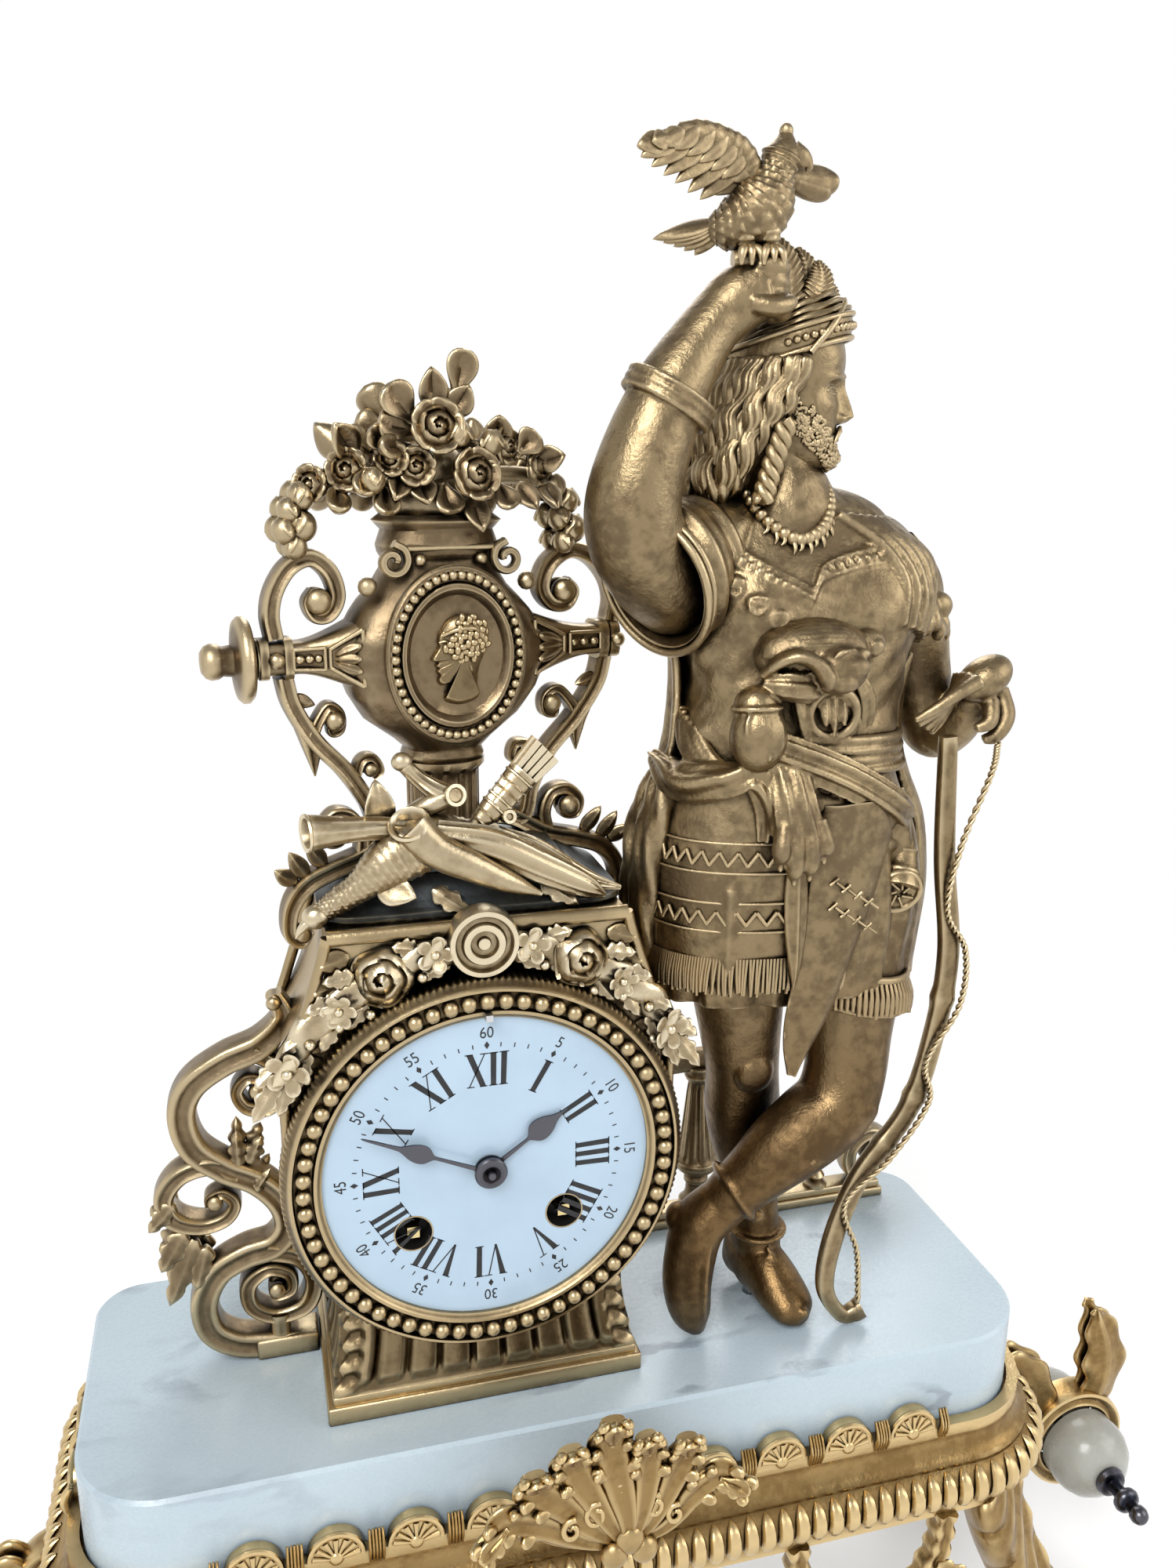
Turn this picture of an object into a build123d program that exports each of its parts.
from build123d import *
import math
import os

# Sizes in millimetres and angles in degrees. X runs along the slab, the front is -Y, Z is up from the floor.

# Marble slab
slab_length = 297.0
slab_depth = 99.0
slab_thickness = 30.0
slab_front_corner = 26.0
slab_back_corner = 14.0
slab_chamfer = 1.0

# Tray under the slab, with a rail that carries a scalloped gallery
leg_height = 92.0
tray_height = 28.0
ledge_width = 9.0
ledge_thickness = 4.0
slab_gap = 1.0
gallery_wall = 3.6
gallery_rail = 4.0
arch_radius = 8.0
arch_pitch = 22.5
moulding_reach = 12.5
fillet_reach = 8.5
band_reach = 7.5
tray_wall = 3.0
cavetto_bottom_share = 0.72
cavetto_hollow_share = 0.3
torus_top_share = 0.68
torus_bottom_share = 0.22

# Corner legs: each row is reach, height, half width and half thickness as shares of the leg's height
leg_inset_x = 8.5
leg_inset_y = 13.5
leg_angle = 30.0
leg_shares = [
    (0.00, 1.00, 0.28, 0.10),
    (0.04, 0.78, 0.26, 0.11),
    (0.16, 0.52, 0.20, 0.10),
    (0.36, 0.28, 0.15, 0.09),
    (0.54, 0.14, 0.13, 0.08),
]
foot_roll_radius = 11.5
foot_roll_length = 28.0
foot_flat = 1.5
foot_reach_share = 0.60

# Pierced aprons: points of the garland as shares of its half span and drop
apron_centre = 88.0
apron_half_span = 26.0
apron_drop = 34.0
apron_bar = 6.0
apron_depth = 8.0
apron_rosette_radius = 14.0
apron_rosette_depth = 12.0
apron_shares = [
    (-1.0, 0.0),
    (-0.92, -0.45),
    (-0.55, -0.9),
    (0.0, -1.0),
    (0.55, -0.9),
    (0.92, -0.45),
    (1.0, 0.0),
]

# Acanthus cartouche: each leaf is its direction in degrees, then its length and half width as shares
cartouche_height = 76.0
cartouche_root = 2.0
cartouche_depth = 12.0
cartouche_boss = 11.0
cartouche_leaf_shares = [
    (90.0, 1.00, 0.10),
    (66.0, 0.80, 0.10),
    (114.0, 0.80, 0.10),
    (42.0, 0.66, 0.10),
    (138.0, 0.66, 0.10),
    (16.0, 0.54, 0.09),
    (164.0, 0.54, 0.09),
]

# End handles: a ring with leaves, a bun on each face and a turned spindle through them
handle_reach = 55.5
handle_drop = 38.0
ring_outer = 21.0
ring_inner = 14.0
ring_depth = 12.0
handle_bar = 8.0
handle_leaf_length = 42.0
handle_leaf_half = 8.0
handle_curl_length = 20.0
handle_curl_half = 5.0
bun_radius = 15.5
bun_seat_radius = 14.8
bun_depth = 19.0
bun_belly_share = 0.38
bun_end_radius = 5.0
spindle_radius = 2.2
finial_collar_radius = 4.8
finial_collar_length = 4.0
finial_neck_radius = 2.6
finial_length = 17.0
finial_button_radius = 3.4

# Hold-down bolts through the slab
bolt_radius = 2.5
bolt_head_radius = 6.0
bolt_head_height = 5.0
bolt_grip = 5.0
bolt_hole_clearance = 0.2
bolt_spread_share = 0.4

# Case: a drum with shoulders on a plinth
dial_x = -30.7
dial_height = 80.8
case_front = 33.0
case_depth = 55.0
drum_radius = 54.0
bore_radius = 50.2
shoulder_rise = 30.0
case_rise = 71.0
case_top_half = 41.0
plinth_width = 95.0
plinth_depth = 60.0
plinth_overhang = 2.5
plinth_fillet = 8.4
plinth_rise = 40.0
plinth_waist_share = 0.86
plinth_shoulder_share = 0.95
plinth_waist_height_share = 0.62
plinth_cavity_half = 24.0
plinth_cavity_depth = 30.0
slot_depth = 22.0
cap_depth_share = 0.84
cap_rise = 14.5
cap_top_half = 22.0
cap_top_depth_share = 0.62
cap_corner = 5.0
cap_belly_share = 0.45
cap_belly_width_share = 0.86

# Floral swag round the top of the bezel
swag_radius = 64.0
swag_half_width = 6.0
swag_thickness = 7.0
swag_spread = 62.0
patera_radius = 9.8
patera_depth = 9.0
patera_hub_radius = 4.0
patera_hub_rise = 1.5
swag_rose_radius = 8.2
swag_rose_depth = 10.0
swag_rose_angle = 25.0
swag_leaf_length = 13.0
swag_leaf_half = 3.6

# Game trophy on the cap: each rod is two ends and two radii, as shares of the trophy's width
trophy_width = 100.0
trophy_set = 7.0
trophy_bird_shares = [
    (-0.40, 0.03, 0.035),
    (-0.33, 0.08, 0.045),
    (-0.24, 0.17, 0.075),
    (-0.13, 0.24, 0.095),
    (0.00, 0.28, 0.07),
    (0.10, 0.30, 0.04),
]
trophy_rod_shares = [
    (-0.14, 0.25, 0.19, 0.08, 0.075, 0.020),
    (0.02, 0.27, 0.40, 0.08, 0.060, 0.022),
    (-0.10, 0.28, -0.43, 0.29, 0.030, 0.052),
    (-0.10, 0.28, -0.18, 0.46, 0.045, 0.030),
    (0.06, 0.24, 0.34, 0.52, 0.040, 0.066),
    (0.02, 0.30, -0.06, 0.50, 0.026, 0.030),
]

# Urn on its column
urn_y = -1.0
urn_turn = 10.0
column_radius = 10.3
column_height = 24.0
column_flutes = 12
flute_radius = 1.6
urn_height = 64.0
urn_section_shares = [
    (0.00, 0.17, 0.15),
    (0.12, 0.29, 0.20),
    (0.32, 0.46, 0.25),
    (0.50, 0.50, 0.26),
    (0.68, 0.43, 0.24),
    (0.86, 0.27, 0.20),
    (1.00, 0.26, 0.19),
]
urn_arm_left = 62.0
urn_arm_right = 57.0
urn_arm_bar = 9.0
urn_arm_height_share = 0.49
urn_disc_radius = 11.0
urn_disc_width = 5.0
urn_tip_radius = 4.5
urn_tip_length = 6.0
medallion_half_width = 19.8
medallion_half_height = 24.3
medallion_thickness = 3.0
medallion_seat = 13.5
medallion_rim = 4.5
medallion_rim_rise = 2.4
medallion_height_share = 0.49

# Urn scrolls: paths of the right-hand side as shares of the scroll's height, measured from its lowest point
scroll_height = 106.0
scroll_foot = 11.0
scroll_bar = 4.6
scroll_depth = 8.0
scroll_upper_shares = [
    (0.525, 0.795),
    (0.515, 0.89),
    (0.44, 0.98),
    (0.345, 0.975),
    (0.29, 0.90),
    (0.335, 0.85),
]
scroll_lower_shares = [
    (0.50, 0.714),
    (0.465, 0.62),
    (0.38, 0.52),
    (0.28, 0.43),
    (0.215, 0.33),
    (0.20, 0.26),
]
scroll_step_shares = [
    (0.06, 0.29),
    (0.20, 0.265),
    (0.30, 0.205),
    (0.40, 0.175),
    (0.465, 0.11),
    (0.47, 0.02),
]
scroll_drop_shares = [(0.44, 0.585), (0.405, 0.52), (0.395, 0.44)]
scroll_eyes_shares = [
    (0.365, 0.885, 0.042),
    (0.325, 0.262, 0.052),
    (0.49, 0.015, 0.036),
    (0.335, 0.60, 0.040),
]
scroll_hook_shares = [(0.40, 0.54), (0.36, 0.565), (0.335, 0.60)]
scroll_path_shares = [
    scroll_upper_shares,
    scroll_lower_shares,
    scroll_step_shares,
    scroll_drop_shares,
    scroll_hook_shares,
]

# Bouquet: mound, roses and sprays as shares of the bouquet's width
bouquet_width = 76.0
bouquet_mound_shares = (0.30, 0.20, 0.15)
bouquet_roses_shares = [
    (-0.08, -0.14, 0.30, 0.125),
    (0.05, -0.18, 0.16, 0.115),
    (-0.24, -0.12, 0.18, 0.10),
    (0.20, -0.10, 0.22, 0.10),
    (-0.12, 0.14, 0.22, 0.12),
    (0.14, 0.14, 0.22, 0.12),
]
bouquet_spray_shares = [(0.20, 0.16), (0.34, 0.19), (0.45, 0.11), (0.52, -0.04)]
bouquet_spray_radius = 4.6
sprig_height = 44.0
sprig_half_width = 5.0
sprig_lean = 8.0
sprig_depth = 6.0

# Openwork side scroll left of the drum: shares of its height, from the drum axis and the slab
side_height = 122.0
side_bar = 8.0
side_depth = 11.0
side_y = 5.0
side_main_shares = [
    (-0.445, 0.98),
    (-0.435, 0.90),
    (-0.52, 0.845),
    (-0.63, 0.795),
    (-0.685, 0.69),
    (-0.63, 0.585),
    (-0.52, 0.515),
    (-0.455, 0.43),
    (-0.46, 0.35),
    (-0.53, 0.305),
    (-0.625, 0.28),
    (-0.675, 0.18),
    (-0.64, 0.085),
    (-0.55, 0.045),
    (-0.46, 0.04),
]
side_hook_shares = [(-0.60, 0.56), (-0.68, 0.555), (-0.715, 0.50), (-0.66, 0.45), (-0.58, 0.44)]
side_curl_shares = [(-0.52, 0.845), (-0.455, 0.78), (-0.47, 0.69), (-0.545, 0.70)]
side_eyes_shares = [(-0.50, 0.75, 0.058), (-0.56, 0.42, 0.042), (-0.51, 0.21, 0.088)]
side_foot_width = 20.0
side_foot_height = 7.0
side_foot_reach = 57.0
side_post_width = 7.0
side_leaf_length = 34.0
side_leaf_half = 6.0
side_leaf_shares = (-0.645, 0.42, -0.74, 0.24)

# Balustrade behind the figure
rail_left = 30.0
rail_right = 134.0
rail_height = 6.0
rail_depth = 9.0
rail_y = 37.0
baluster_x = 60.0
bar_drop = 18.8
baluster_top = dial_height - bar_drop
baluster_share = 7.8
baluster_profile_shares = [
    (0.62, 0.00),
    (0.62, 0.07),
    (0.50, 0.12),
    (0.50, 0.20),
    (1.00, 0.26),
    (1.00, 0.34),
    (0.42, 0.88),
    (0.62, 0.92),
    (0.62, 1.00),
]
bar_height = 5.0
bar_bite = 4.5
rail_scroll_rise = 18.0
rail_scroll_bar = 6.0
rail_scroll_shares = [(0.0, 0.0), (-0.35, 0.45), (-0.15, 0.95), (0.35, 1.0), (0.5, 0.6)]

# Figure: centres and half widths in hundredths of the figure's height
figure_height = 333.0
body_shares = [
    (19.5, -4.2, 37.2, 12.2, 7.2),
    (19.6, -4.3, 43.5, 12.6, 7.6),
    (19.3, -4.5, 50.0, 12.0, 7.4),
    (19.1, -5.0, 57.0, 9.5, 6.2),
    (19.8, -4.6, 63.8, 9.8, 6.2),
    (20.2, -3.8, 70.5, 11.3, 6.2),
    (19.8, -3.3, 75.2, 11.6, 4.8),
    (19.0, -3.0, 78.8, 4.4, 3.8),
]
standing_leg_shares = [
    (15.8, -2.6, 37.2, 5.2, 4.6),
    (16.4, -2.6, 28.0, 4.2, 4.0),
    (17.4, -2.0, 19.0, 3.9, 3.8),
    (18.8, -1.8, 10.0, 2.6, 2.7),
    (19.1, -2.0, 4.0, 2.4, 2.6),
]
standing_foot_shares = [
    (18.6, 0.4, 1.5, 2.0, 1.4),
    (19.2, -2.2, 3.6, 2.6, 3.5),
    (20.4, -5.2, 2.4, 3.0, 2.3),
    (21.7, -8.4, 1.2, 1.7, 1.1),
]
crossed_leg_shares = [
    (28.2, -5.6, 37.2, 4.6, 4.4),
    (27.0, -7.0, 31.0, 4.4, 4.4),
    (24.6, -8.2, 24.5, 4.3, 3.9),
    (19.4, -8.6, 18.6, 4.0, 3.6),
    (14.2, -8.0, 14.6, 2.8, 2.7),
]
crossed_foot_shares = [
    (13.2, -7.6, 14.8, 2.4, 2.8),
    (11.8, -7.0, 10.0, 2.7, 3.2),
    (11.8, -6.6, 5.0, 2.3, 2.6),
    (12.3, -6.4, 0.7, 1.4, 1.5),
]
raised_arm_shares = [
    (9.6, -4.0, 70.0, 5.4, 5.8),
    (6.6, -6.2, 73.0, 5.0, 5.4),
    (4.0, -8.2, 77.6, 4.0, 4.2),
    (5.2, -8.4, 82.6, 3.6, 3.6),
    (8.2, -8.0, 88.4, 3.0, 3.0),
    (11.0, -7.4, 92.4, 2.2, 2.2),
]
fist_shares = (13.4, -7.2, 93.8, 3.2, 2.9, 2.8)
lowered_arm_shares = [
    (30.0, -2.6, 72.4, 4.0, 4.4),
    (33.0, -2.4, 66.5, 3.6, 4.0),
    (34.2, -2.0, 60.5, 3.0, 3.2),
    (34.2, -3.4, 56.8, 2.8, 2.8),
    (35.2, -6.2, 59.2, 2.2, 2.2),
]
hand_shares = [
    (35.8, -7.0, 61.4, 2.2, 2.0),
    (33.8, -8.2, 62.0, 2.6, 1.7),
    (30.2, -8.6, 60.2, 1.4, 1.0),
]
neck_shares = [
    (19.0, -3.0, 78.8, 3.6, 3.2),
    (18.9, -3.0, 81.5, 3.4, 3.2),
    (18.9, -3.0, 84.0, 3.4, 3.4),
]
skull_shares = (18.4, -3.2, 87.0, 4.6, 3.9, 5.9)
hair_shares = (16.4, -2.4, 83.6, 3.2, 4.0, 5.4)
feather_shares = [
    (19.6, -4.0, 91.4, 18.6, -3.6, 99.0, 1.6),
    (20.8, -4.2, 89.4, 21.8, -4.2, 97.0, 1.3),
    (17.8, -3.4, 90.4, 16.8, -3.0, 95.6, 1.3),
]
feather_thickness = 3.6
falcon_shares = [
    (6.9, -4.4, 98.0, 1.7, 0.5),
    (9.6, -5.8, 98.6, 1.5, 0.9),
    (12.4, -6.8, 100.0, 2.0, 1.9),
    (14.6, -7.4, 101.4, 1.9, 1.8),
    (15.4, -7.4, 104.0, 1.3, 1.3),
    (15.7, -7.2, 106.3, 0.7, 0.8),
]
falcon_wing_shares = [
    [
        (11.6, -7.0, 101.0, 1.5, 0.7),
        (9.2, -8.0, 104.6, 2.0, 0.6),
        (6.4, -9.0, 104.6, 2.0, 0.5),
        (3.3, -10.0, 103.0, 0.6, 0.3),
    ],
    [
        (13.4, -5.6, 101.4, 1.5, 0.7),
        (17.0, -4.0, 104.2, 1.8, 0.6),
        (20.0, -2.4, 104.8, 1.6, 0.5),
        (22.9, -1.2, 104.6, 0.8, 0.4),
    ],
]
falcon_perch_shares = (12.9, -7.0, 97.6, 1.9, 1.7, 1.7)
drape_shares = [
    (9.2, -3.2, 54.0, 1.9, 4.6),
    (7.0, -2.4, 46.0, 1.7, 4.4),
    (8.4, -0.6, 37.4, 2.2, 3.4),
    (10.6, 0.6, 30.0, 1.3, 2.2),
]
bundle_shares = (19.6, -11.4, 60.2, 4.6, 2.6, 5.6)
paw_shares = (18.2, -12.6, 50.4, 2.8, 1.9, 4.4)
gourd_shares = (14.6, -11.6, 56.8, 2.9, 2.4, 3.6)
horn_shares = [
    (27.4, -11.2, 53.6, 1.2, 1.2),
    (30.6, -10.4, 48.4, 1.6, 1.6),
    (32.6, -10.0, 42.6, 2.5, 2.5),
]

# Bow and the twisted wire wound along it: path shares of the bow's height, from its foot
bow_height = 198.0
bow_foot_x = 83.0
bow_y = -31.5
bow_half_width = 3.2
bow_half_depth = 2.2
wire_radius = 0.9
wire_clearance = 0.1
bow_path_shares = [
    (0.040, 0.035),
    (0.010, 0.030),
    (-0.020, 0.080),
    (-0.010, 0.170),
    (0.030, 0.275),
    (0.105, 0.380),
    (0.140, 0.500),
    (0.155, 0.640),
    (0.135, 0.800),
    (0.125, 0.985),
]
wire_path_shares = [
    (0.030, 0.055),
    (0.022, 0.150),
    (-0.004, 0.240),
    (0.070, 0.310),
    (0.130, 0.400),
    (0.120, 0.470),
    (0.170, 0.560),
    (0.165, 0.650),
    (0.120, 0.740),
    (0.158, 0.830),
    (0.165, 0.900),
    (0.150, 0.960),
]

# Bezel and dial, measured forward of the dial's face
dial_stand = 6.0
dial_visible_radius = 46.0
dial_radius = 48.2
dial_thickness = 1.6
dial_hole_radius = 3.4
winding_hole_radius = 5.3
bezel_radius = 57.0
bezel_rim_rise = 1.0
bezel_bead_radius = 51.0
bezel_bead_groove = 3.2
bezel_flange_rise = 1.8
bezel_spigot = 4.0
bezel_spigot_wall = 1.2
dial_foot_radius = 1.2
dial_foot_place = 40.0
dial_foot_angles = (75.0, 195.0, 315.0)
winding_x = 21.6
winding_y = -17.5

# Movement plates, measured behind the dial's face
plate_radius = 43.0
plate_thickness = 1.8
front_plate_back = 11.0
plate_gap = 20.2
pillar_radius = 2.5
pillar_place = 38.0
pillar_angles = (25.0, 155.0, 252.0, 288.0)
strap_place = 46.0
strap_width = 9.0
strap_thickness = 1.6
pivot_radius = 0.7
running_clearance = 0.05
arbor_radius = 1.1
escape_arbor_radius = 0.9

# Gear teeth
addendum_share = 0.75
dedendum_share = 1.15
tooth_root_share = 0.58
tooth_tip_share = 0.22
motion_module = 0.62
hour_module_share = 0.8
cannon_teeth = 8
minute_wheel_teeth = 24
minute_pinion_teeth = 8
hour_wheel_teeth = 32
train_module = 0.64
third_module = 0.4125
centre_teeth = 48
third_pinion_teeth = 8
third_teeth = 48
escape_pinion_teeth = 8
escape_teeth = 24
escape_radius = 9.6
escape_tooth_depth = 2.0
escape_hook_share = 0.35
wheel_thickness = 1.0
wheel_rim = 1.9
spoke_width = 2.0
spoke_count = 4
motion_angle = 180.0
third_angle = 51.7
escape_angle = 164.08
gear_bore_clearance = 0.06

# Hands, set at the photographed time
minute_hand_length = 38.5
hour_hand_length = 27.5
hand_thickness = 0.7
hand_stem = 0.75
hand_bulb_half = 3.2
hand_bulb_length = 9.0
hand_bulb_place_share = 0.50
hand_clearance = 0.9
hub_radius = 4.6
hub_rise = 2.6
minute_hand_angle = 156.0
hour_hand_angle = 35.5
cannon_radius = 1.8
hour_pipe_radius = 2.7

# Barrels with winding squares
barrel_radius = 10.8
barrel_length = 13.0
barrel_rim_radius = 13.4
barrel_rim_width = 1.6
square_side = 3.4
square_stand = 0.4
ratchet_radius = 6.0
ratchet_teeth = 16
ratchet_depth = 1.0

# Escapement and pendulum
pallet_rise = 31.0
pallet_gap = 0.9
anchor_thickness = 1.4
anchor_half_span = 8.4
anchor_bar = 2.4
crutch_length = 25.0
crutch_bar = 1.8
crutch_thickness = 1.2
crutch_set = 1.2
fork_clearance = 0.35
cock_set = 4.2
cock_thickness = 2.0
cock_half = 10.0
cock_post_radius = 1.8
cock_eye_radius = 2.4
chops_height = 6.0
chops_depth = 4.0
chops_half = 4.0
spring_length = 4.0
spring_width = 3.0
spring_thickness = 0.5
hang_gap = 0.3
rod_radius = 1.1
pendulum_length = 86.0
bob_radius = 13.5
bob_thickness = 6.0
bob_shoulder_share = 0.55
bob_swell_share = 0.8
bob_rim_share = 0.4
regulator_place = 47.4
regulator_radius = 1.0
regulator_square = 1.9
regulator_stand = 3.4

# Bell and hammer
bell_x = 13.0
bell_y = -13.0
bell_radius = 20.0
bell_depth = 9.0
bell_wall = 1.4
bell_set = 13.0
bell_bend_share = 0.865
bell_bend_height_share = 0.3
bell_post_radius = 1.8
bell_nut_radius = 3.2
bell_nut_height = 2.0
hammer_x = -16.0
hammer_y = 22.0
hammer_rod = 1.0
hammer_head_radius = 2.6
hammer_head_length = 8.0
hammer_gap = 0.8

# Rear bezel and door
rear_ring_inner = 45.0
rear_ring_depth = 4.0
door_gap = 0.6
door_thickness = 1.8
door_dish = 2.0
door_dish_radius = 36.0
hinge_reach = 50.0
hinge_set = 2.2
hinge_pin_radius = 1.1
knuckle_radius = 2.0
knuckle_length = 7.0
knuckle_gap = 0.3
door_knob_radius = 2.4
door_knob_length = 6.0
door_knob_place = 38.0

# One length by which every cut runs past what it cuts
overrun = 20.0

# Radius of the ball that is stretched into each ellipsoid
unit_radius = 1.0

# How little two headings may differ for a path to run straight between them
straight_share = 1e-6

slab_bottom = leg_height + tray_height
slab_top = slab_bottom + slab_thickness
figure_unit = figure_height / 100
dial_y = -case_front - dial_stand
case_back = case_depth - case_front
dial_centre = (dial_x, dial_y, slab_top + dial_height)
case_top = slab_top + dial_height + case_rise
column_foot = case_top + cap_rise
urn_foot = column_foot + column_height
urn_top = urn_foot + urn_height
front_plate_front = front_plate_back - plate_thickness
back_plate_front = front_plate_back + plate_gap
back_plate_back = back_plate_front + plate_thickness
mid_y = case_depth / 2 - case_front
dial_frame = Plane(origin=dial_centre, x_dir=(1, 0, 0), z_dir=(0, -1, 0))
bottom_align = (Align.CENTER, Align.CENTER, Align.MIN)


def upright(x, y, z):
    """A plane facing the viewer, with its own X to the right and Y up."""
    return Plane(origin=(x, y, z), x_dir=(1, 0, 0), z_dir=(0, -1, 0))


def arc_path(points):
    """A smooth planar path of tangent arcs through points, two arcs between each pair."""
    spots = [Vector(x, y) for x, y in points]
    headings = [(after - before).normalized() for before, after in zip(spots, spots[2:])]
    first = (spots[1] - spots[0]).normalized()
    last = (spots[-1] - spots[-2]).normalized()
    headings.insert(0, (first * (2 * first.dot(headings[0])) - headings[0]).normalized())
    headings.append((last * (2 * last.dot(headings[-1])) - headings[-1]).normalized())
    edges = []
    for start, end, go, leave in zip(spots, spots[1:], headings, headings[1:]):
        chord = end - start
        both = chord.dot(go + leave)
        spare = 1 - go.dot(leave)
        if spare < straight_share:
            edges.append(Line(start, end))
            continue
        reach = (math.sqrt(both * both + 2 * spare * chord.dot(chord)) - both) / (2 * spare)
        middle = (start + end + (go - leave) * reach) * 0.5
        turn = ((end - leave * reach) - (start + go * reach)).normalized()
        edges.append(TangentArc(start, middle, tangent=go))
        edges.append(TangentArc(middle, end, tangent=turn))
    return Wire(edges)


def ribbon(points, depth, bar, plane):
    """A flat bar that follows a path drawn on a plane."""
    path = plane * arc_path(points)
    start = Plane(origin=path @ 0, x_dir=plane.z_dir, z_dir=path % 0)
    return sweep(start * Rectangle(depth, bar), path=path)


def lens(start, end, half):
    """A leaf outline between two points of a plane."""
    a = Vector(*start)
    b = Vector(*end)
    along = (b - a).normalized()
    side = Vector(-along.Y, along.X) * half
    middle = (a + b) * 0.5
    return make_face([ThreePointArc(a, middle + side, b), ThreePointArc(b, middle - side, a)])


def plate(face, depth, plane):
    """A face drawn on a plane, made a plate of even depth about that plane."""
    return plane * extrude(face, amount=depth / 2, both=True)


def peg(plane, x, y, low, high, radius):
    """A round peg along a plane's normal."""
    return plane * (Pos(x, y, low) * Cylinder(radius, high - low, align=bottom_align))


def limb(rows, level=False):
    """A loft through ellipses along a spine, with rows in hundredths of the figure's height."""
    spots = [Vector(x, y, z) for x, y, z, _, _ in rows]
    faces = []
    for k, (_, _, _, half, deep) in enumerate(rows):
        along = spots[min(k + 1, len(spots) - 1)] - spots[max(k - 1, 0)]
        if level:
            along = Vector(0, 0, 1)
        across = Vector(0, 1, 0).cross(along)
        place = spots[k] * figure_unit + Vector(0, 0, slab_top)
        section = Plane(origin=place, x_dir=across, z_dir=along)
        faces.append(section * Ellipse(half * figure_unit, deep * figure_unit))
    return loft(faces)


def lump(row):
    """An ellipsoid of the figure, with its row in hundredths of the figure's height."""
    x, y, z, half, deep, tall = (value * figure_unit for value in row)
    return Pos(x, y, z + slab_top) * scale(Sphere(unit_radius), by=(half, deep, tall))


def ground_block(height):
    """Everything below a level, to be cut away."""
    sides = (Align.CENTER, Align.CENTER, Align.MAX)
    return Pos(0, 0, height) * Box(2 * slab_length, 2 * slab_length, leg_height, align=sides)


def slab_edges(grow):
    """The slab's outline in plan, grown by a margin, as edges that start at the middle of the front."""
    x = slab_length / 2 + grow
    y = slab_depth / 2 + grow
    front = slab_front_corner + grow
    back = slab_back_corner + grow
    nip = 1 - math.sqrt(0.5)
    return [
        Line((0, -y), (x - front, -y)),
        ThreePointArc((x - front, -y), (x - front * nip, -y + front * nip), (x, -y + front)),
        Line((x, -y + front), (x, y - back)),
        ThreePointArc((x, y - back), (x - back * nip, y - back * nip), (x - back, y)),
        Line((x - back, y), (-x + back, y)),
        ThreePointArc((-x + back, y), (-x + back * nip, y - back * nip), (-x, y - back)),
        Line((-x, y - back), (-x, -y + front)),
        ThreePointArc((-x, -y + front), (-x + front * nip, -y + front * nip), (-x + front, -y)),
        Line((-x + front, -y), (0, -y)),
    ]


def bolt_places():
    spread = plinth_width * bolt_spread_share
    toe = standing_foot_shares[1]
    return [
        (dial_x - spread, mid_y),
        (dial_x + spread, mid_y),
        (toe[0] * figure_unit, toe[1] * figure_unit),
    ]


def bolt_holes(radius, low, high):
    return [Pos(x, y, low) * Cylinder(radius, high - low, align=bottom_align) for x, y in bolt_places()]


def marble_slab():
    block = extrude(Pos(0, 0, slab_bottom) * make_face(slab_edges(0)), amount=slab_thickness)
    block = chamfer(block.faces().sort_by(Axis.Z)[-1].edges(), slab_chamfer)
    return block - bolt_holes(bolt_radius + bolt_hole_clearance, slab_bottom - overrun, slab_top + overrun)


def hold_down_bolts():
    bolts = []
    for x, y in bolt_places():
        head = extrude(RegularPolygon(bolt_head_radius, 6), amount=-bolt_head_height)
        shank = Cylinder(bolt_radius, slab_thickness + bolt_grip, align=bottom_align)
        bolts.append(Pos(x, y, slab_bottom) * (head + shank))
    return Compound(children=bolts)


def tray_section():
    """The tray's moulded section: distance out from the slab's edge, and height above its underside."""
    rail = slab_gap + gallery_wall
    inner = band_reach - tray_wall
    low = tray_height * torus_bottom_share
    high = tray_height * torus_top_share
    cove = tray_height * cavetto_bottom_share
    hollow_x = rail + (fillet_reach - rail) * cavetto_hollow_share
    hollow_y = cove + (tray_height - cove) * cavetto_hollow_share
    top = tray_height + gallery_rail
    shelf = tray_height - ledge_thickness
    return make_face(
        [
            Polyline((inner, 0), (band_reach, 0), (band_reach, low), (fillet_reach, low)),
            ThreePointArc((fillet_reach, low), (moulding_reach, (low + high) / 2), (fillet_reach, high)),
            Line((fillet_reach, high), (fillet_reach, cove)),
            ThreePointArc((fillet_reach, cove), (hollow_x, hollow_y), (rail, tray_height)),
            Polyline((rail, tray_height), (rail, top), (slab_gap, top), (slab_gap, tray_height)),
            Polyline((slab_gap, tray_height), (-ledge_width, tray_height), (-ledge_width, shelf)),
            Polyline((-ledge_width, shelf), (inner, shelf), (inner, 0)),
        ]
    )


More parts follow.
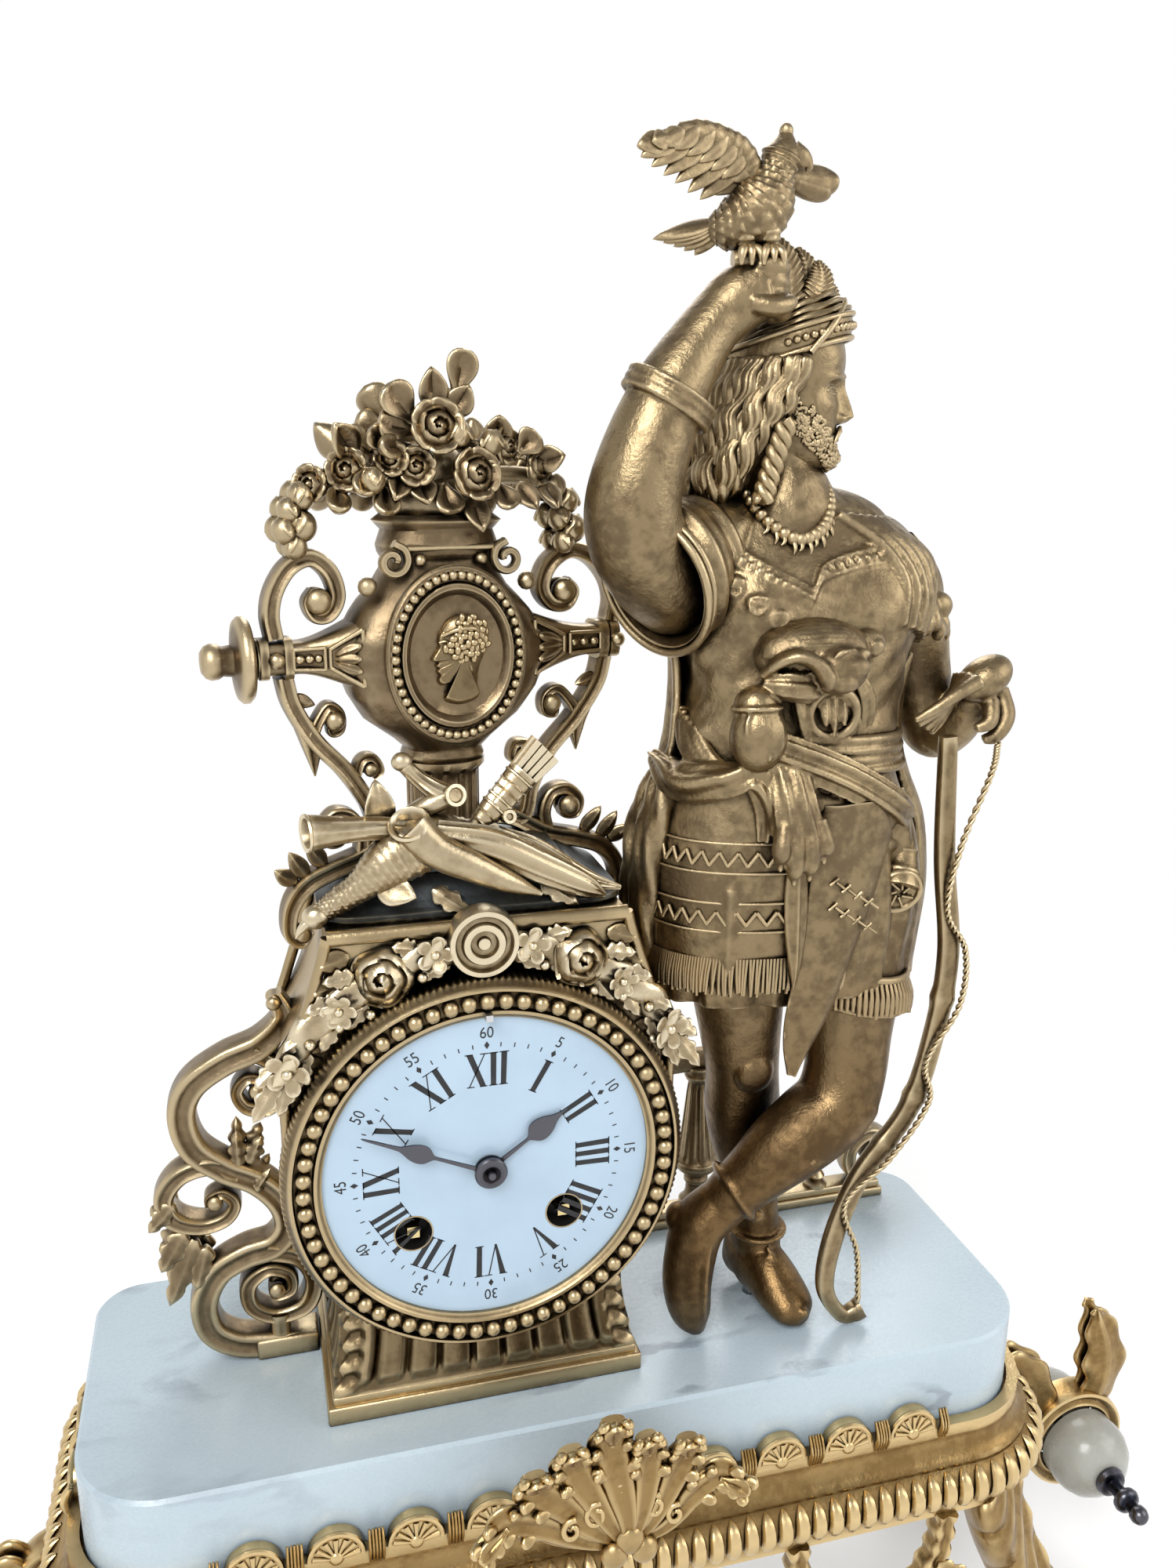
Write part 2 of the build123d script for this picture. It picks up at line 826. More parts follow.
def gallery_arches():
    """Half discs that stand on the rail along the straight runs of all four sides."""
    top = slab_bottom + gallery_rail
    wall = slab_gap + gallery_wall / 2
    half_disc = Circle(arch_radius) - Pos(0, -arch_radius) * Rectangle(2 * arch_radius, 2 * arch_radius)
    arch = extrude(half_disc, amount=gallery_wall / 2, both=True)
    arches = []
    front_run = slab_length - 2 * slab_front_corner
    end_run = slab_depth - slab_front_corner - slab_back_corner
    end_middle = (slab_front_corner - slab_back_corner) / 2
    front_count = int(front_run // arch_pitch)
    end_count = int(end_run // arch_pitch)
    for k in range(front_count):
        x = (k - (front_count - 1) / 2) * arch_pitch
        for side in (-1, 1):
            arches.append(upright(x, side * (slab_depth / 2 + wall), top) * arch)
    for k in range(end_count):
        y = end_middle + (k - (end_count - 1) / 2) * arch_pitch
        for side in (-1, 1):
            place = Plane(origin=(side * (slab_length / 2 + wall), y, top), x_dir=(0, 1, 0), z_dir=(1, 0, 0))
            arches.append(place * arch)
    return arches


def base_tray():
    path = Pos(0, 0, leg_height) * Wire(slab_edges(0))
    start = Plane(origin=(0, -slab_depth / 2, leg_height), x_dir=(0, -1, 0), z_dir=(-1, 0, 0))
    return sweep(start * tray_section(), path=path) + gallery_arches()


def corner_leg(side_x, side_y):
    """A broad leaf-shaped leg that sweeps out to a scroll foot with a flat underside."""
    spots = [Vector(reach, 0, rise) * leg_height for reach, rise, _, _ in leg_shares]
    faces = []
    for k, (_, _, half, thick) in enumerate(leg_shares):
        along = spots[min(k + 1, len(spots) - 1)] - spots[max(k - 1, 0)]
        if k == 0:
            along = Vector(0, 0, -1)
        section = Plane(origin=spots[k], x_dir=(0, 1, 0), z_dir=along)
        faces.append(section * Ellipse(half * leg_height, thick * leg_height))
    foot_place = Pos(foot_reach_share * leg_height, 0, foot_roll_radius - foot_flat)
    foot = foot_place * Rot(90, 0, 0) * Cylinder(foot_roll_radius, foot_roll_length)
    leg = loft(faces) + foot - ground_block(0)
    turn = leg_angle * side_y if side_x > 0 else 180 - leg_angle * side_y
    place = Pos(side_x * (slab_length / 2 - leg_inset_x), side_y * (slab_depth / 2 - leg_inset_y), 0)
    return place * Rot(0, 0, turn) * leg


def base_aprons(tray):
    """Garlands with a rosette, hung under the long sides of the tray."""
    pieces = []
    points = [(x * apron_half_span, y * apron_drop) for x, y in apron_shares]
    reach = slab_depth / 2 + band_reach - tray_wall / 2
    for side_y in (-1, 1):
        for side_x in (-1, 1):
            place = upright(side_x * apron_centre, side_y * reach, leg_height)
            rosette = place * (Pos(0, -apron_drop) * Cylinder(apron_rosette_radius, apron_rosette_depth))
            pieces.append(ribbon(points, apron_depth, apron_bar, place) + rosette - tray)
    return Compound(children=pieces)


def front_cartouche(tray):
    place = upright(0, -(slab_depth / 2 + fillet_reach + cartouche_depth / 2), leg_height + cartouche_root)
    crest = None
    for angle, length, half in cartouche_leaf_shares:
        reach = length * cartouche_height
        tip = (reach * math.cos(math.radians(angle)), reach * math.sin(math.radians(angle)))
        leaf = plate(lens((0, 0), tip, half * cartouche_height), cartouche_depth, place)
        crest = leaf if crest is None else crest + leaf
    boss = peg(place, 0, 0, -cartouche_depth / 2, cartouche_depth / 2, cartouche_boss)
    return crest + boss - tray


def handle_place(side):
    return side * (slab_length / 2 + handle_reach), leg_height - handle_drop


def end_handle(side, tray):
    """A ring with a bar to the tray's end, a tall leaf and a curled leaf."""
    x, z = handle_place(side)
    plane = Plane(origin=(x, 0, z), x_dir=(side, 0, 0), z_dir=(0, -side, 0))
    ring = plate(Circle(ring_outer) - Circle(ring_inner), ring_depth, plane)
    tray_end = moulding_reach - handle_reach
    bar_end = -(ring_outer + ring_inner) / 2
    points = [
        (tray_end - tray_wall, handle_drop + tray_height * torus_bottom_share),
        (tray_end + handle_bar, handle_drop),
        (bar_end, handle_bar),
        (bar_end, 0),
    ]
    handle = ring + ribbon(points, ring_depth, handle_bar, plane)
    mid_ring = (ring_outer + ring_inner) / 2
    root = (mid_ring * math.sin(math.radians(leg_angle)), mid_ring * math.cos(math.radians(leg_angle)))
    tall = lens(root, (root[0] - handle_leaf_half / 2, root[1] + handle_leaf_length), handle_leaf_half)
    curl_root = (-root[0], root[1])
    curl_tip = (curl_root[0] - handle_curl_half, curl_root[1] + handle_curl_length)
    curl = lens(curl_root, curl_tip, handle_curl_half)
    handle = handle + plate(tall, ring_depth, plane) + plate(curl, ring_depth, plane)
    return handle - tray


def revolved(points, plane):
    """A turned piece from a profile of radius and distance along a plane's normal."""
    profile = make_face(Polyline(*[(radius, 0, along) for radius, along in points], close=True))
    return plane * revolve(profile, axis=Axis.Z)


def bun(plane):
    """An alabaster bun with a flat seat, a round belly and a bore."""
    belly = bun_depth * bun_belly_share
    shoulder = (bun_radius + bun_end_radius) / 2 + belly / 4
    hollow = (belly + bun_depth) / 2
    edges = [
        Line((spindle_radius, 0, 0), (bun_seat_radius, 0, 0)),
        ThreePointArc((bun_seat_radius, 0, 0), (bun_radius, 0, belly / 2), (bun_radius, 0, belly)),
        ThreePointArc((bun_radius, 0, belly), (shoulder, 0, hollow), (bun_end_radius, 0, bun_depth)),
        Line((bun_end_radius, 0, bun_depth), (spindle_radius, 0, bun_depth)),
        Line((spindle_radius, 0, bun_depth), (spindle_radius, 0, 0)),
    ]
    return plane * revolve(make_face(edges), axis=Axis.Z)


def alabaster_buns():
    buns = []
    for side in (-1, 1):
        x, z = handle_place(side)
        for face in (-1, 1):
            buns.append(bun(Plane(origin=(x, face * ring_depth / 2, z), x_dir=(1, 0, 0), z_dir=(0, face, 0))))
    return Compound(children=buns)


def bun_spindles():
    spindles = []
    seat = ring_depth / 2 + bun_depth
    collar = seat + finial_collar_length
    end = seat + finial_length
    for side in (-1, 1):
        x, z = handle_place(side)
        plane = Plane(origin=(x, 0, z), x_dir=(1, 0, 0), z_dir=(0, -1, 0))
        spindle = plane * Cylinder(spindle_radius, 2 * seat)
        for face in (-1, 1):
            low = min(face * seat, face * collar)
            high = max(face * seat, face * collar)
            spindle += peg(plane, 0, 0, low, high, finial_collar_radius)
            low = min(face * collar, face * end)
            high = max(face * collar, face * end)
            spindle += peg(plane, 0, 0, low, high, finial_neck_radius)
            spindle += plane * (Pos(0, 0, face * end) * Sphere(finial_button_radius))
        spindles.append(spindle)
    return Compound(children=spindles)


def drum_cylinder(radius):
    return Pos(dial_x, mid_y, dial_centre[2]) * Rot(90, 0, 0) * Cylinder(radius, case_depth + 2 * overrun)


def pendulum_slot():
    """The way for the pendulum through the drum's floor into the plinth."""
    depth = back_plate_back + cock_set + cock_thickness + chops_depth / 2
    place = Pos(dial_x, dial_y + depth, slab_top)
    return place * Box(2 * plinth_cavity_half, slot_depth, dial_height, align=bottom_align)


def case_drum():
    """The drum with its shoulders, bored right through for the movement."""
    half = drum_radius
    bend = (half + case_top_half) / 2 - (half - case_top_half) / 4
    knee = (shoulder_rise + case_rise) / 2
    face = make_face(
        [
            ThreePointArc((-half, 0), (0, -half), (half, 0)),
            Line((half, 0), (half, shoulder_rise)),
            ThreePointArc((half, shoulder_rise), (bend, knee), (case_top_half, case_rise)),
            Line((case_top_half, case_rise), (-case_top_half, case_rise)),
            ThreePointArc((-case_top_half, case_rise), (-bend, knee), (-half, shoulder_rise)),
            Line((-half, shoulder_rise), (-half, 0)),
        ]
    )
    front = upright(dial_x, -case_front, dial_centre[2])
    block = front * extrude(face, amount=-case_depth)
    return block - drum_cylinder(bore_radius) - pendulum_slot()


def case_plinth():
    middle = plinth_depth / 2 - case_front - plinth_overhang / 2
    foot = Pos(dial_x, middle, slab_top) * Box(plinth_width, plinth_depth, plinth_fillet, align=bottom_align)
    rows = [
        (plinth_fillet, plinth_shoulder_share),
        (plinth_fillet + (plinth_rise - plinth_fillet) * plinth_waist_height_share, plinth_waist_share),
        (plinth_rise, plinth_waist_share),
    ]
    faces = []
    for rise, share in rows:
        outline = Rectangle(plinth_width * share, plinth_depth * share)
        faces.append(Pos(dial_x, middle, slab_top + rise) * outline)
    block = foot + loft(faces) - drum_cylinder(drum_radius) - pendulum_slot()
    return block - bolt_holes(bolt_radius, slab_top - overrun, slab_top + bolt_grip)


def case_cap():
    """A cushion-shaped cap between the case and the urn's column."""
    depth = case_depth * cap_depth_share
    rows = [
        (0, 2 * case_top_half, depth),
        (cap_belly_share, 2 * case_top_half * cap_belly_width_share, depth * cap_belly_width_share),
        (1, 2 * cap_top_half, depth * cap_top_depth_share),
    ]
    faces = []
    for rise, width, deep in rows:
        outline = RectangleRounded(width, deep, cap_corner)
        faces.append(Pos(dial_x, mid_y, case_top + rise * cap_rise) * outline)
    return loft(faces, ruled=True)


def swag_point(angle):
    turn = math.radians(90 - angle)
    return swag_radius * math.cos(turn), swag_radius * math.sin(turn)


def floral_swag():
    """A garland round the top of the bezel, with a patera, two roses and leaves at its ends."""
    face = upright(dial_x, -case_front, dial_centre[2])
    inner = swag_radius - swag_half_width
    outer = swag_radius + swag_half_width
    turn = math.radians(90 - swag_spread)
    band = []
    for radius in (inner, outer):
        side = (radius * math.cos(turn), radius * math.sin(turn))
        band.append((side, (0, radius), (-side[0], side[1])))
    outline = make_face(
        [
            ThreePointArc(*band[0]),
            Line(band[0][2], band[1][2]),
            ThreePointArc(*band[1]),
            Line(band[1][0], band[0][0]),
        ]
    )
    swag = face * extrude(outline, amount=swag_thickness)
    x, y = swag_point(0)
    swag += peg(face, x, y, 0, patera_depth, patera_radius)
    swag += peg(face, x, y, patera_depth, patera_depth + patera_hub_rise, patera_hub_radius)
    for angle in (-swag_rose_angle, swag_rose_angle):
        x, y = swag_point(angle)
        swag += peg(face, x, y, 0, swag_rose_depth, swag_rose_radius)
    for side in (-1, 1):
        x, y = swag_point(side * swag_spread)
        root = swag_point(side * (swag_spread - swag_leaf_half))
        leaf = lens(root, (x + side * swag_leaf_length / 2, y - swag_leaf_length), swag_leaf_half)
        swag += face * extrude(leaf, amount=swag_thickness)
    bezel_clear = peg(face, 0, 0, -overrun, overrun, bezel_radius)
    return swag - bezel_clear


def round_rod(start, end, wide, narrow):
    """A tapered rod between two points."""
    a = Vector(start)
    b = Vector(end)
    foot = Plane(origin=a, z_dir=b - a)
    head = Plane(origin=b, z_dir=b - a)
    return loft([foot * Circle(wide), head * Circle(narrow)])


def game_trophy(cap, urn, medallion):
    """A laid-out game bird with crossed horns, wings and a quiver."""
    plane_y = mid_y - case_depth * cap_depth_share / 2 + trophy_set
    unit = trophy_width
    spots = [Vector(dial_x + x * unit, plane_y, case_top + z * unit) for x, z, _ in trophy_bird_shares]
    faces = []
    for k, (_, _, radius) in enumerate(trophy_bird_shares):
        along = spots[min(k + 1, len(spots) - 1)] - spots[max(k - 1, 0)]
        faces.append(Plane(origin=spots[k], x_dir=(0, 1, 0), z_dir=along) * Circle(radius * unit))
    trophy = loft(faces)
    for x0, z0, x1, z1, wide, narrow in trophy_rod_shares:
        start = (dial_x + x0 * unit, plane_y, case_top + z0 * unit)
        end = (dial_x + x1 * unit, plane_y, case_top + z1 * unit)
        trophy += round_rod(start, end, wide * unit, narrow * unit)
    return trophy - cap - urn - medallion


def urn_turned(shape):
    """The urn and what it carries stand a little turned on the case."""
    return Pos(dial_x, urn_y, 0) * Rot(0, 0, urn_turn) * Pos(-dial_x, -urn_y, 0) * shape


def fluted_column():
    column = Pos(dial_x, urn_y, column_foot) * Cylinder(column_radius, column_height, align=bottom_align)
    for k in range(column_flutes):
        turn = 2 * math.pi * k / column_flutes
        x = dial_x + column_radius * math.cos(turn)
        y = urn_y + column_radius * math.sin(turn)
        column -= Pos(x, y, column_foot) * Cylinder(flute_radius, column_height, align=bottom_align)
    return column


def urn_body():
    """The urn on its fluted column, with square arms that end in discs."""
    faces = []
    for rise, half, deep in urn_section_shares:
        place = Pos(dial_x, urn_y, urn_foot + rise * urn_height)
        faces.append(place * Ellipse(half * urn_height, deep * urn_height))
    body = loft(faces)
    arm_z = urn_foot + urn_arm_height_share * urn_height
    arm_middle = dial_x + (urn_arm_right - urn_arm_left) / 2
    body += Pos(arm_middle, urn_y, arm_z) * Box(urn_arm_left + urn_arm_right, urn_arm_bar, urn_arm_bar)
    end = Pos(dial_x - urn_arm_left, urn_y, arm_z) * Rot(0, -90, 0)
    body += end * Cylinder(urn_disc_radius, urn_disc_width, align=bottom_align)
    body += end * Cylinder(urn_tip_radius, urn_disc_width + urn_tip_length, align=bottom_align)
    front = Box(urn_height, urn_height, urn_height, align=(Align.CENTER, Align.MAX, Align.CENTER))
    body -= Pos(dial_x, urn_y - medallion_seat, arm_z) * front
    return urn_turned(body + fluted_column())


def urn_medallion():
    seat = upright(dial_x, urn_y - medallion_seat, urn_foot + medallion_height_share * urn_height)
    oval = Ellipse(medallion_half_width, medallion_half_height)
    inner = Ellipse(medallion_half_width - medallion_rim, medallion_half_height - medallion_rim)
    disc = extrude(oval, amount=medallion_thickness)
    rim = extrude(Pos(0, 0, medallion_thickness) * (oval - inner), amount=medallion_rim_rise)
    return urn_turned(seat * (disc + rim))


def urn_scroll(side, others):
    """Openwork scrolls on one side of the urn, from above its arm down to beside the cap."""
    origin = (dial_x, urn_y, case_top - scroll_foot)
    plane = Plane(origin=origin, x_dir=(side, 0, 0), z_dir=(0, -side, 0))
    scroll = None
    for shares in scroll_path_shares:
        points = [(x * scroll_height, y * scroll_height) for x, y in shares]
        bar = ribbon(points, scroll_depth, scroll_bar, plane)
        scroll = bar if scroll is None else scroll + bar
    for x, y, radius in scroll_eyes_shares:
        half = scroll_depth / 2
        scroll += peg(plane, x * scroll_height, y * scroll_height, -half, half, radius * scroll_height)
    scroll = urn_turned(scroll)
    for other in others:
        scroll = scroll - other
    return scroll


def urn_bouquet(urn):
    """Roses on a mound, a drooping spray on each side and an upright sprig."""
    unit = bouquet_width
    half, deep, tall = (share * unit for share in bouquet_mound_shares)
    mound = Pos(dial_x, urn_y, urn_top) * extrude(Ellipse(half, deep), amount=2 * tall)
    for x, y, z, radius in bouquet_roses_shares:
        mound += Pos(dial_x + x * unit, urn_y + y * unit, urn_top + z * unit) * Sphere(radius * unit)
    for side in (-1, 1):
        plane = Plane(origin=(dial_x, urn_y, urn_top), x_dir=(side, 0, 0), z_dir=(0, -side, 0))
        path = plane * arc_path([(x * unit, z * unit) for x, z in bouquet_spray_shares])
        start = Plane(origin=path @ 0, x_dir=plane.z_dir, z_dir=path % 0)
        mound += sweep(start * Circle(bouquet_spray_radius), path=path)
    front = upright(dial_x, urn_y, urn_top)
    sprig = lens((0, tall), (sprig_lean, tall + sprig_height), sprig_half_width)
    return urn_turned(mound + plate(sprig, sprig_depth, front)) - urn


def side_scroll(drum, plinth):
    """The big openwork S-scroll that stands on the slab at the drum's left."""
    plane = upright(dial_x, side_y, slab_top)
    scroll = None
    for shares in (side_main_shares, side_hook_shares, side_curl_shares):
        bar = ribbon([(x * side_height, y * side_height) for x, y in shares], side_depth, side_bar, plane)
        scroll = bar if scroll is None else scroll + bar
    half = side_depth / 2
    for x, y, radius in side_eyes_shares:
        scroll += peg(plane, x * side_height, y * side_height, -half, half, radius * side_height)
    eye = side_eyes_shares[-1]
    foot = Box(side_foot_width, side_depth, side_foot_height, align=bottom_align)
    post = Box(side_post_width, side_depth, eye[1] * side_height, align=bottom_align)
    scroll += Pos(dial_x - side_foot_reach, side_y, slab_top) * foot
    scroll += Pos(dial_x + eye[0] * side_height, side_y, slab_top) * post
    x0, z0, x1, z1 = (share * side_height for share in side_leaf_shares)
    scroll += plate(lens((x0, z0), (x1, z1), side_leaf_half), side_depth, plane)
    return scroll - drum - plinth - drum_cylinder(bore_radius)


def rear_balustrade(drum, ring):
    """A low rail with a fluted baluster, a bar to the drum and a scrolled end."""
    length = rail_right - rail_left
    middle = (rail_left + rail_right) / 2
    rail = Pos(middle, rail_y, slab_top) * Box(length, rail_depth, rail_height, align=bottom_align)
    tall = baluster_top - rail_height
    points = [(radius * baluster_share, height * tall) for radius, height in baluster_profile_shares]
    points = [(0, 0)] + points + [(0, tall)]
    profile = make_face(Polyline(*[(radius, 0, height) for radius, height in points], close=True))
    rail += Pos(baluster_x, rail_y, slab_top + rail_height) * revolve(profile, axis=Axis.Z)
    bar_start = dial_x + drum_radius - bar_bite
    bar_length = baluster_x + baluster_share - bar_start
    bar_depth = rail_y + rail_depth / 2 - (case_back - rail_depth)
    bar_middle = case_back - rail_depth + bar_depth / 2
    bar_place = Pos(bar_start + bar_length / 2, bar_middle, slab_top + baluster_top)
    rail += bar_place * Box(bar_length, bar_depth, bar_height, align=bottom_align)
    scroll = [(x * rail_scroll_rise, z * rail_scroll_rise) for x, z in rail_scroll_shares]
    plane = upright(rail_right - rail_scroll_bar, rail_y, slab_top + rail_height)
    rail += ribbon(scroll, rail_depth, rail_scroll_bar, plane)
    return rail - drum - ring


def standing_leg(body):
    foot = limb(standing_foot_shares)
    leg = limb(standing_leg_shares) + foot
    x, y = bolt_places()[-1]
    hole = Pos(x, y, slab_top) * Cylinder(bolt_radius, bolt_grip, align=bottom_align)
    return leg - ground_block(slab_top) - hole - body


def crossed_leg(body, other):
    return limb(crossed_leg_shares) + limb(crossed_foot_shares) - ground_block(slab_top) - body - other


def raised_arm(body, head):
    return limb(raised_arm_shares) + lump(fist_shares) - body - head


def lowered_arm(body):
    return limb(lowered_arm_shares) + limb(hand_shares) - body


def feather(row):
    """A leaf-shaped feather that stands upright in the headband."""
    x0, y0, z0, x1, y1, z1, half = (value * figure_unit for value in row)
    plane = upright(0, (y0 + y1) / 2, slab_top)
    return plate(lens((x0, z0), (x1, z1), half), feather_thickness, plane)


def figure_head(body):
    head = limb(neck_shares, level=True) + lump(skull_shares) + lump(hair_shares)
    for row in feather_shares:
        head += feather(row)
    return (head - body).solids().sort_by(SortBy.VOLUME)[-1]


def falcon(arm):
    bird = limb(falcon_shares) + lump(falcon_perch_shares)
    for rows in falcon_wing_shares:
        bird += limb(rows)
    return bird - arm


def waist_skins(body, legs, arm):
    skins = limb(drape_shares) + lump(bundle_shares) + lump(paw_shares)
    skins = skins + lump(gourd_shares) + limb(horn_shares)
    skins = skins - body - arm
    for leg in legs:
        skins = skins - leg
    return skins


def bow_points(shares):
    return [(x * bow_height, z * bow_height) for x, z in shares]


def bow(solids):
    plane = upright(bow_foot_x, bow_y, slab_top)
    path = plane * arc_path(bow_points(bow_path_shares))
    start = Plane(origin=path @ 0, x_dir=plane.z_dir, z_dir=path % 0)
    stave = sweep(start * Ellipse(bow_half_depth, bow_half_width), path=path)
    for solid in solids:
        stave = stave - solid
    return stave


def bow_wire(solids):
    """The twisted wire that lies along the front of the bow."""
    plane = upright(bow_foot_x, bow_y - bow_half_depth - wire_radius - wire_clearance, slab_top)
    path = plane * arc_path(bow_points(wire_path_shares))
    start = Plane(origin=path @ 0, x_dir=plane.z_dir, z_dir=path % 0)
    wire = sweep(start * Circle(wire_radius), path=path)
    for solid in solids:
        wire = wire - solid
    return wire


def polar(radius, angle):
    return radius * math.cos(math.radians(angle)), radius * math.sin(math.radians(angle))


def winding_places():
    return [(winding_x, winding_y), (-winding_x, winding_y)]


def bezel():
    """A turned ring with a bead groove, an inner flange over the dial and a spigot into the drum."""
    seat = -dial_stand
    low = bezel_bead_radius - bezel_bead_groove
    high = bezel_bead_radius + bezel_bead_groove
    spigot = bore_radius - running_clearance
    points = [
        (spigot - bezel_spigot_wall, seat - bezel_spigot),
        (spigot, seat - bezel_spigot),
        (spigot, seat),
        (bezel_radius, seat),
        (bezel_radius, bezel_rim_rise),
        (high, dial_stand / 2),
        (high, bezel_rim_rise),
        (low, bezel_rim_rise),
        (low, bezel_flange_rise),
        (dial_visible_radius, bezel_flange_rise),
        (dial_visible_radius, 0),
        (dial_radius + running_clearance, 0),
        (dial_radius + running_clearance, -dial_thickness - running_clearance),
        (spigot - bezel_spigot_wall, -dial_thickness - running_clearance),
    ]
    ring = revolved(points, dial_frame)
    hole = regulator_radius + running_clearance
    return ring - peg(dial_frame, 0, regulator_place, -dial_stand, dial_stand, hole)


def dial():
    """The enamel disc with its holes and three feet to the front plate."""
    disc = peg(dial_frame, 0, 0, -dial_thickness, 0, dial_radius)
    disc -= peg(dial_frame, 0, 0, -overrun, overrun, dial_hole_radius)
    for x, y in winding_places():
        disc -= peg(dial_frame, x, y, -overrun, overrun, winding_hole_radius)
    disc -= peg(dial_frame, 0, regulator_place, -overrun, overrun, regulator_radius + running_clearance)
    for angle in dial_foot_angles:
        x, y = polar(dial_foot_place, angle)
        disc += peg(dial_frame, x, y, -front_plate_front, -dial_thickness, dial_foot_radius)
    return disc


def third_place():
    distance = train_module * (centre_teeth + third_pinion_teeth) / 2
    return polar(distance, third_angle)


def escape_place():
    x, y = third_place()
    distance = third_module * (third_teeth + escape_pinion_teeth) / 2
    return x + polar(distance, escape_angle)[0], y + polar(distance, escape_angle)[1]


def minute_wheel_place():
    return polar(motion_module * (cannon_teeth + minute_wheel_teeth) / 2, motion_angle)


def hour_module():
    return motion_module * (cannon_teeth + minute_wheel_teeth) / (minute_pinion_teeth + hour_wheel_teeth)


def movement_plate(low, pivots):
    disc = peg(dial_frame, 0, 0, low, low + plate_thickness, plate_radius)
    for x, y, radius in pivots:
        disc -= peg(dial_frame, x, y, -case_depth - overrun, overrun, radius + running_clearance)
    return disc


def pivot_holes():
    holes = [(0, 0, arbor_radius), (0, pallet_place(), pivot_radius), (hammer_x, hammer_y, pivot_radius)]
    for place in (third_place(), escape_place()):
        holes.append((*place, pivot_radius))
    for place in winding_places():
        holes.append((*place, arbor_radius))
    return holes


def front_plate():
    plate_solid = movement_plate(-front_plate_back, pivot_holes())
    x, y = minute_wheel_place()
    stud_end = -dial_thickness - hand_clearance
    return plate_solid + peg(dial_frame, x, y, -front_plate_front, stud_end, pivot_radius)


def back_plate():
    return movement_plate(-back_plate_back, pivot_holes())


def plate_pillars():
    pillars = []
    for angle in pillar_angles:
        x, y = polar(pillar_place, angle)
        pillars.append(peg(dial_frame, x, y, -back_plate_front, -front_plate_back, pillar_radius))
    return Compound(children=pillars)


def case_straps():
    """Two long straps that tie the front bezel to the rear bezel."""
    straps = []
    low = -(case_depth + dial_stand)
    high = -dial_stand - bezel_spigot
    for side in (-1, 1):
        place = Pos(side * strap_place, 0, low)
        bar = Box(strap_thickness, strap_width, high - low, align=bottom_align)
        straps.append(dial_frame * (place * bar))
    return Compound(children=straps)


def gear_face(teeth, module, phase):
    """A wheel outline with straight-sided teeth, the first of them at a given angle."""
    pitch = teeth * module / 2
    tip = pitch + module * addendum_share
    root = pitch - module * dedendum_share
    step = 2 * math.pi / teeth
    points = []
    for k in range(teeth):
        middle = math.radians(phase) + k * step
        corners = [(root, -tooth_root_share), (tip, -tooth_tip_share)]
        corners += [(tip, tooth_tip_share), (root, tooth_root_share)]
        for radius, lean in corners:
            turn = middle + lean * step / 2
            points.append((radius * math.cos(turn), radius * math.sin(turn)))
    return Polygon(*points, align=None)


def crossed_out(face, outer, hub):
    """A wheel face opened between its rim, its hub and its spokes."""
    window = Circle(outer - wheel_rim) - Circle(hub + spoke_width / 2)
    for k in range(spoke_count):
        window -= Rot(0, 0, 360 * k / spoke_count) * Pos(outer / 2, 0) * Rectangle(outer, spoke_width)
    return face - window


def slice_at(face, x, y, low, high):
    return dial_frame * (Pos(x, y, low) * extrude(face, amount=high - low))


def mesh_phase(teeth, angle):
    """The angle at which a wheel puts a gap towards its partner."""
    return angle + 180 / teeth


def wheel_levels():
    """Heights of the motion work and of the train, behind the dial's face."""
    room = front_plate_front - dial_thickness
    minute = -front_plate_front + hand_clearance / 2
    hour = minute + wheel_thickness + hand_clearance
    return room, minute, hour


def cannon_pinion():
    _, minute, hour = wheel_levels()
    face = gear_face(cannon_teeth, motion_module, motion_angle)
    pinion = slice_at(face, 0, 0, minute, hour - hand_clearance / 2)
    tube = peg(dial_frame, 0, 0, minute, hub_floor() + hand_thickness, cannon_radius)
    return pinion + tube - peg(dial_frame, 0, 0, -overrun, overrun, arbor_radius + running_clearance)


def hub_floor():
    return hand_clearance + hand_thickness + hand_clearance


def minute_wheel():
    _, minute, hour = wheel_levels()
    x, y = minute_wheel_place()
    angle = motion_angle + 180
    wheel = crossed_out(
        gear_face(minute_wheel_teeth, motion_module, mesh_phase(minute_wheel_teeth, angle)),
        minute_wheel_teeth * motion_module / 2 - motion_module,
        pivot_radius + spoke_width / 2,
    )
    solid = slice_at(wheel, x, y, minute, minute + wheel_thickness)
    pinion = gear_face(minute_pinion_teeth, hour_module(), angle)
    solid += slice_at(pinion, x, y, minute + wheel_thickness, hour + wheel_thickness)
    return solid - peg(dial_frame, x, y, -overrun, overrun, pivot_radius + running_clearance)


def hour_wheel():
    _, minute, hour = wheel_levels()
    face = gear_face(hour_wheel_teeth, hour_module(), mesh_phase(hour_wheel_teeth, motion_angle))
    wheel = crossed_out(face, hour_wheel_teeth * hour_module() / 2 - motion_module, hour_pipe_radius)
    solid = slice_at(wheel, 0, 0, hour, hour + wheel_thickness)
    solid += peg(dial_frame, 0, 0, hour, hand_clearance + hand_thickness, hour_pipe_radius)
    return solid - peg(dial_frame, 0, 0, -overrun, overrun, cannon_radius + gear_bore_clearance)


